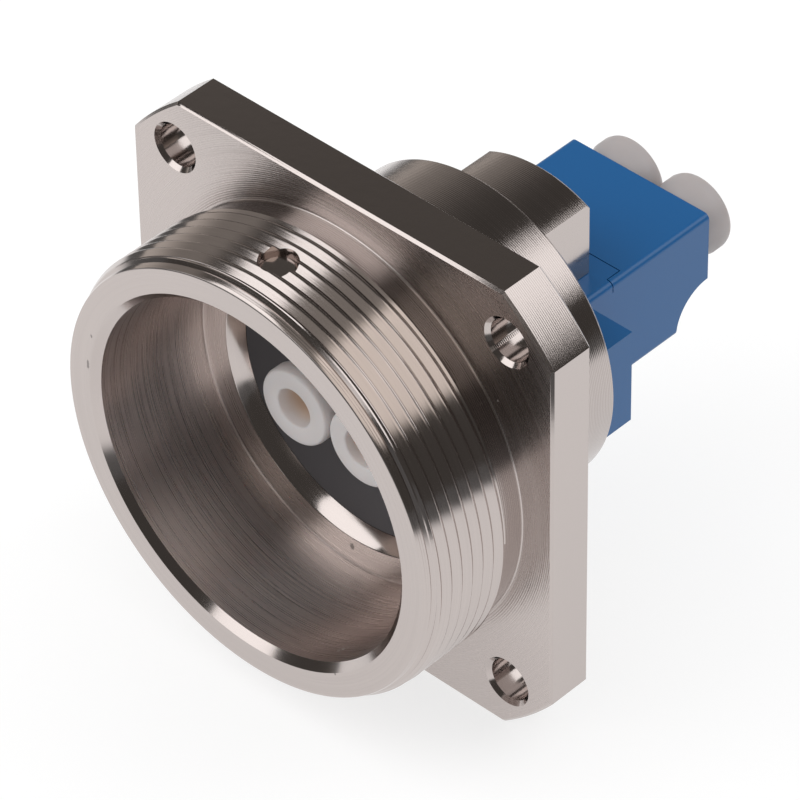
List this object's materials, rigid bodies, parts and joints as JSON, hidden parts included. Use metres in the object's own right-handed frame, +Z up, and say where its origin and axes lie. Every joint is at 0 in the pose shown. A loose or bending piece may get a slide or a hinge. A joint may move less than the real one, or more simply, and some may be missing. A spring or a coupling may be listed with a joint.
{
  "type": "duplex fibre bulkhead receptacle",
  "caption": "Square-flange metal bulkhead receptacle with a threaded barrel, holding a blue duplex fibre adapter with white dust caps at its ports.",
  "frame": {"origin": "centre of the flange's rear face, on the barrel's axis", "axes": "+Y to the rear through the panel, +Z up to the key pin, +X to the right seen from the front"},
  "size_m": [0.038, 0.0425, 0.038],
  "materials": {
    "nickel_plate": "bright nickel plate over turned brass, with fine turning lines",
    "steel": "plain stainless",
    "black_rubber": "smooth moulded rubber",
    "blue_plastic": "moulded, fine satin",
    "holder_plastic": "moulded",
    "zirconia": "ground zirconia ceramic",
    "cap_plastic": "natural soft polyethylene"
  },
  "bodies": {
    "housing": {"shell": "nickel_plate", "key_pin": "steel", "face_seal": "black_rubber", "adapter_body": "blue_plastic", "adapter_lid": "blue_plastic", "sleeve_holder_left_front": "holder_plastic", "sleeve_holder_left_rear": "holder_plastic", "sleeve_holder_right_front": "holder_plastic", "sleeve_holder_right_rear": "holder_plastic", "ferrule_sleeve_left": "zirconia", "ferrule_sleeve_right": "zirconia", "clamp_screw_left": "steel", "clamp_screw_right": "steel"},
    "front_cap_left": {"front_dust_cap_left": "cap_plastic"},
    "front_cap_right": {"front_dust_cap_right": "cap_plastic"},
    "rear_cap_left": {"rear_dust_cap_left": "cap_plastic"},
    "rear_cap_right": {"rear_dust_cap_right": "cap_plastic"}
  },
  "joints": [
    {"name": "front_cap_left_pull", "type": "slide", "parent": "housing", "child": "front_cap_left", "axis": [0, -1, 0], "range_m": [0, 0.02]},
    {"name": "front_cap_right_pull", "type": "slide", "parent": "housing", "child": "front_cap_right", "axis": [0, -1, 0], "range_m": [0, 0.02]},
    {"name": "rear_cap_left_pull", "type": "slide", "parent": "housing", "child": "rear_cap_left", "axis": [0, 1, 0], "range_m": [0, 0.01]},
    {"name": "rear_cap_right_pull", "type": "slide", "parent": "housing", "child": "rear_cap_right", "axis": [0, 1, 0], "range_m": [0, 0.01]}
  ]
}
